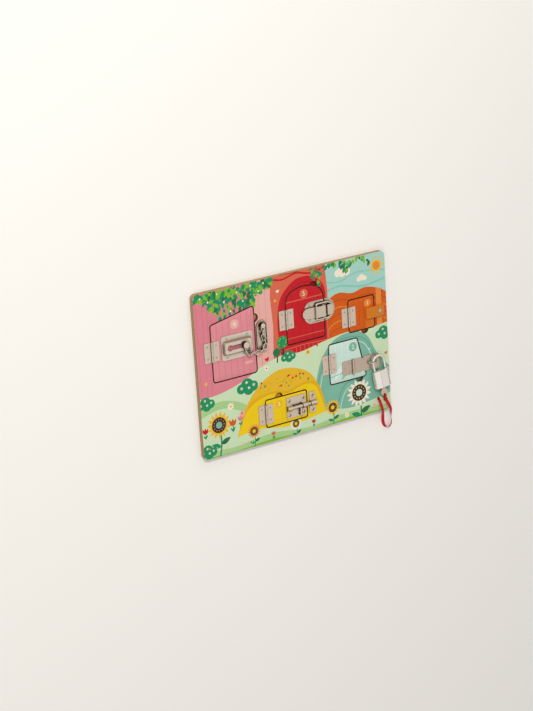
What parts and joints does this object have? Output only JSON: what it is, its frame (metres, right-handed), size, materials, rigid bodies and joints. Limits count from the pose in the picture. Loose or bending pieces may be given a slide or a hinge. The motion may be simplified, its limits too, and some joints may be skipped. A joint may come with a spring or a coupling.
{
  "type": "wooden busy board",
  "caption": "Flat printed plywood board with hinged doors, each closed by a different real latch: turn button, hasp and padlock, barrel bolt, chain guard and toggle catch.",
  "frame": {"origin": "middle of the board's flat back, which lies on z = 0", "axes": "+X to the right along the board's long side, +Y to its top edge, +Z out of its printed face"},
  "size_m": [0.4059, 0.3398, 0.0253],
  "materials": {
    "printed_board": "plywood with a satin printed face",
    "bare_plywood": "bare plywood back",
    "door_1_paint": "plywood with a satin printed face",
    "door_2_paint": "plywood with a satin printed face",
    "door_3_paint": "plywood with a satin printed face",
    "door_4_paint": "plywood with a satin printed face",
    "door_5_paint": "plywood with a satin printed face",
    "button_wood": "wood with a satin printed face",
    "screws": "satin nickel-plated steel",
    "hinges": "satin nickel-plated sheet steel",
    "hasp": "satin plated sheet steel",
    "staple_steel": "bright plated wire",
    "shackle_steel": "bright chrome-plated rod",
    "padlock_chrome": "satin chrome-plated body",
    "lock_brass": "machined brass",
    "key_steel": "nickel-plated stamped key",
    "bolt_steel": "satin nickel-plated steel",
    "guard_steel": "satin nickel-plated pressed steel",
    "chain_steel": "nickel-plated wire",
    "toggle_steel": "satin nickel-plated pressed steel",
    "toggle_wire": "nickel-plated wire",
    "ribbon_fabric": "woven satin ribbon"
  },
  "bodies": {
    "frame": {"face_board": "printed_board", "back_panel": "bare_plywood", "face_screws": "screws", "hinge_1_frame_leaf": "hinges", "hinge_1_pin": "hinges", "hinge_2_frame_leaf": "hinges", "hinge_2_pin": "hinges", "hinge_3_frame_leaf": "hinges", "hinge_3_pin": "hinges", "hinge_4_frame_leaf": "hinges", "hinge_4_pin": "hinges", "hinge_5_frame_leaf": "hinges", "hinge_5_pin": "hinges", "button_washer": "screws", "button_screw": "screws", "staple": "staple_steel", "bolt_keeper": "bolt_steel", "chain_dish": "guard_steel", "chain_stud": "guard_steel", "chain": "chain_steel", "toggle_catch": "toggle_steel", "ribbon": "ribbon_fabric"},
    "door_1": {"door_1": "door_1_paint", "door_1_screws": "screws", "hinge_1_door_leaf": "hinges"},
    "door_2": {"door_2": "door_2_paint", "door_2_screws": "screws", "hinge_2_door_leaf": "hinges", "hasp_leaf": "hasp", "hasp_pin": "hasp"},
    "door_3": {"door_3": "door_3_paint", "door_3_screws": "screws", "hinge_3_door_leaf": "hinges", "bolt_base": "bolt_steel"},
    "door_4": {"door_4": "door_4_paint", "door_4_screws": "screws", "hinge_4_door_leaf": "hinges", "chain_slot_plate": "guard_steel"},
    "door_5": {"door_5": "door_5_paint", "door_5_screws": "screws", "hinge_5_door_leaf": "hinges", "toggle_base": "toggle_steel", "toggle_pin": "toggle_steel"},
    "turn_button": {"turn_button": "button_wood"},
    "hasp_strap": {"hasp_strap": "hasp"},
    "bolt": {"bolt_rod": "bolt_steel", "bolt_handle": "bolt_steel"},
    "chain_knob": {"chain_knob": "guard_steel", "chain_hook_link": "chain_steel"},
    "toggle_lever": {"toggle_lever": "toggle_steel"},
    "toggle_loop": {"toggle_loop": "toggle_wire"},
    "padlock_shackle": {"padlock_shackle": "shackle_steel"},
    "padlock_body": {"padlock_body": "padlock_chrome"},
    "lock_plug": {"lock_plug": "lock_brass"},
    "key": {"key": "key_steel"}
  },
  "joints": [
    {"name": "door_1_hinge", "type": "hinge", "parent": "frame", "child": "door_1", "pos_m": [0.116, 0.0426, 0.0118], "axis": [0, -1, 0], "range_deg": [0, 104]},
    {"name": "door_2_hinge", "type": "hinge", "parent": "frame", "child": "door_2", "pos_m": [0.0697, -0.0358, 0.0118], "axis": [0, -1, 0], "range_deg": [0, 104]},
    {"name": "door_3_hinge", "type": "hinge", "parent": "frame", "child": "door_3", "pos_m": [-0.0692, -0.0964, 0.0118], "axis": [0, -1, 0], "range_deg": [0, 104]},
    {"name": "door_4_hinge", "type": "hinge", "parent": "frame", "child": "door_4", "pos_m": [-0.1702, 0.0425, 0.0118], "axis": [0, -1, 0], "range_deg": [0, 104]},
    {"name": "door_5_hinge", "type": "hinge", "parent": "frame", "child": "door_5", "pos_m": [-0.0155, 0.0671, 0.0118], "axis": [0, -1, 0], "range_deg": [0, 104]},
    {"name": "turn_button_pivot", "type": "hinge", "parent": "frame", "child": "turn_button", "pos_m": [0.1823, 0.0415, 0.0103], "axis": [0, 0, 1], "range_deg": [0, 90]},
    {"name": "hasp_hinge", "type": "hinge", "parent": "door_2", "child": "hasp_strap", "pos_m": [0.12, -0.0512, 0.0124], "axis": [0, -1, 0], "range_deg": [0, 95]},
    {"name": "bolt_slide", "type": "slide", "parent": "door_3", "child": "bolt", "axis": [-1, 0, 0], "range_m": [0, 0.016]},
    {"name": "chain_knob_slide", "type": "slide", "parent": "door_4", "child": "chain_knob", "axis": [-1, 0, 0], "range_m": [0, 0.03]},
    {"name": "toggle_lever_pivot", "type": "hinge", "parent": "door_5", "child": "toggle_lever", "pos_m": [0.06, 0.0686, 0.0155], "axis": [0, 1, 0], "range_deg": [0, 120]},
    {"name": "toggle_loop_pivot", "type": "hinge", "parent": "toggle_lever", "child": "toggle_loop", "pos_m": [0.046, 0.0686, 0.0144], "axis": [0, -1, 0], "range_deg": [0, 150]},
    {"name": "padlock_swing", "type": "hinge", "parent": "frame", "child": "padlock_shackle", "pos_m": [0.159, -0.0511, 0.0178], "axis": [0.1564, -0.9877, 0], "range_deg": [0, 120]},
    {"name": "padlock_body_drop", "type": "slide", "parent": "padlock_shackle", "child": "padlock_body", "axis": [0.1564, -0.9877, 0], "range_m": [0, 0.009]},
    {"name": "lock_plug_turn", "type": "hinge", "parent": "padlock_body", "child": "lock_plug", "pos_m": [0.17686, -0.08877, 0.0178], "axis": [0.1564, -0.9877, 0], "range_deg": [0, 90]},
    {"name": "key_slide", "type": "slide", "parent": "lock_plug", "child": "key", "axis": [0.1564, -0.9877, 0], "range_m": [0, 0.022], "deforming": ["ribbon"]}
  ],
  "couplings": [
    {"joint": "toggle_loop_pivot", "follows": "toggle_lever_pivot", "ratio": 1.25}
  ]
}
